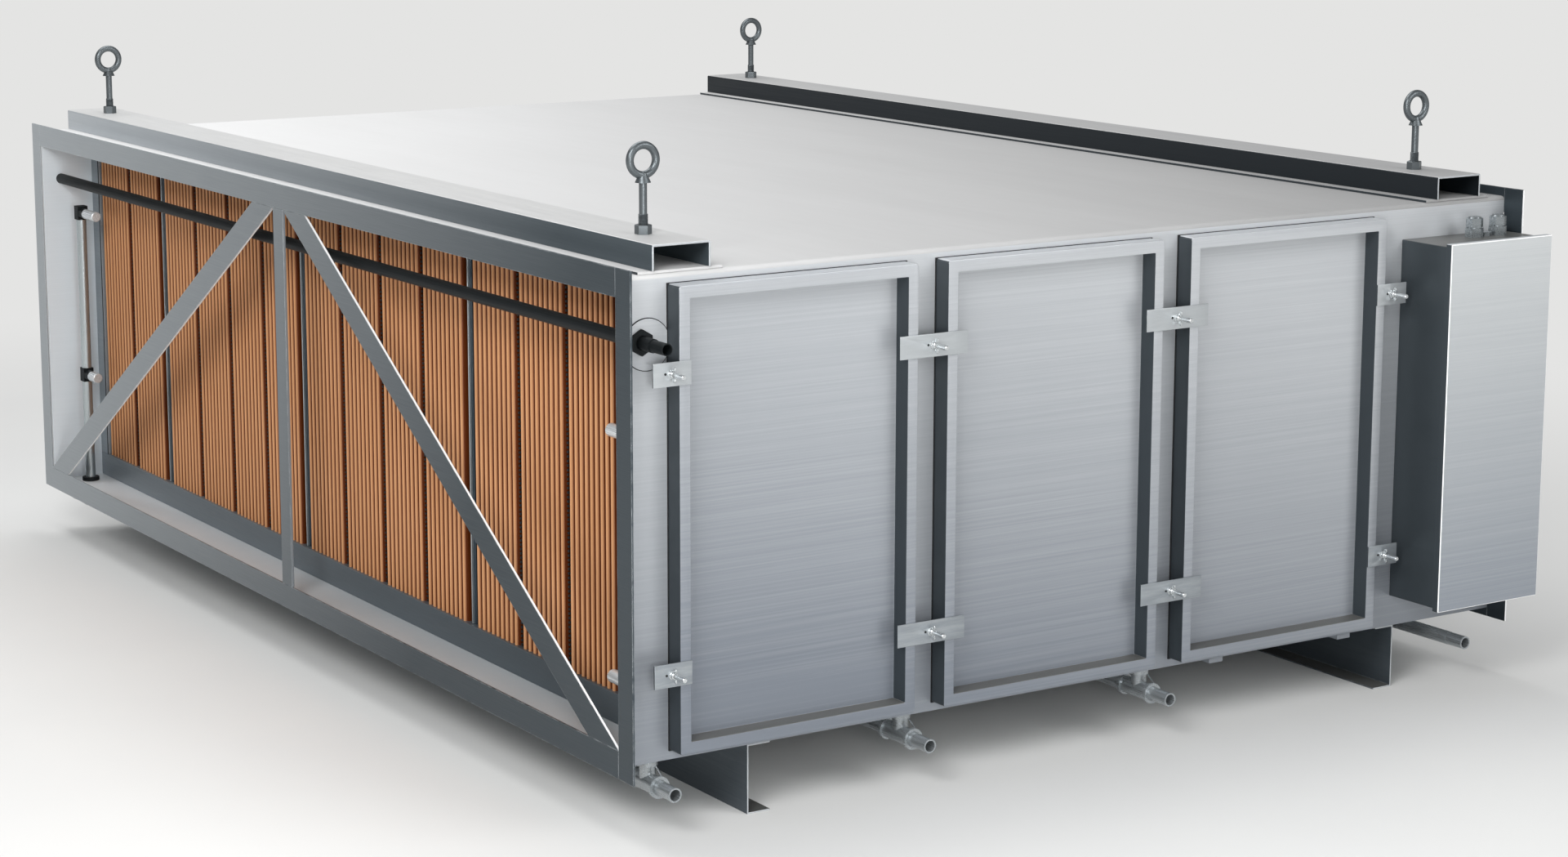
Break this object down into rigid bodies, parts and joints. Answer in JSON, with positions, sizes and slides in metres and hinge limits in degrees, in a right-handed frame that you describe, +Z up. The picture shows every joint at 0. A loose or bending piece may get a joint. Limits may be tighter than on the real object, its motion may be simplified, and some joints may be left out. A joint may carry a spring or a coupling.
{
  "type": "preconditioned air unit",
  "caption": "Sheet-steel coil casing on two cross legs, with bolting flange rings, fluted copper coil behind a braced open end, clamped tray doors, lifting eyes and a control box.",
  "frame": {"origin": "on the ground, under the middle of the front cross leg", "axes": "+Z up, +Y from the coil end to the rear end, +X towards the service side with the doors and the control box"},
  "size_m": [3.0522, 2.138, 1.2303],
  "materials": {
    "casing_sheet": "brushed, satin",
    "roof_sheet": "satin light grey",
    "flange_steel": "brushed",
    "copper_fluted": "satin copper",
    "coil_core_dark": "matt dark",
    "divider_steel": "blued, brushed",
    "pipe_black": "satin black",
    "pipe_steel": "drawn",
    "cap_chrome": "polished",
    "lifting_sheet": "satin light grey",
    "eye_steel": "zinc plated",
    "door_sheet": "brushed",
    "clamp_zinc": "zinc plated",
    "box_paint": "satin grey",
    "gland_metal": "nickel plated",
    "leg_steel": "mill finish",
    "drain_steel": "turned"
  },
  "bodies": {
    "root": {"braces": "flange_steel", "cable_glands": "gland_metal", "centre_post": "flange_steel", "clamp_plates": "clamp_zinc", "clamp_studs": "clamp_zinc", "coil_bank_1": "copper_fluted", "coil_bank_2": "copper_fluted", "coil_bank_3": "copper_fluted", "coil_bank_4": "copper_fluted", "coil_core": "coil_core_dark", "coil_dividers": "divider_steel", "coil_head": "casing_sheet", "coil_jambs": "casing_sheet", "coil_sill": "casing_sheet", "control_box": "box_paint", "control_box_lid": "box_paint", "cross_legs": "leg_steel", "door_1": "door_sheet", "door_2": "door_sheet", "door_3": "door_sheet", "drain_pipes": "drain_steel", "drain_tees": "drain_steel", "eye_bolt_1": "eye_steel", "eye_bolt_2": "eye_steel", "eye_bolt_3": "eye_steel", "eye_bolt_4": "eye_steel", "far_wall": "casing_sheet", "floor_pan": "casing_sheet", "floor_rails": "casing_sheet", "front_flange_members": "flange_steel", "front_flange_stiles": "flange_steel", "header_pipe": "pipe_black", "header_union": "pipe_black", "lifting_channels": "lifting_sheet", "pipe_rosette": "casing_sheet", "rear_flange_members": "flange_steel", "rear_flange_stiles": "flange_steel", "rear_panel": "casing_sheet", "riser_caps": "cap_chrome", "riser_fittings": "pipe_black", "riser_pipes": "pipe_steel", "roof_sheet": "roof_sheet", "roof_strips": "roof_sheet", "service_wall": "casing_sheet"}
  },
  "joints": []
}
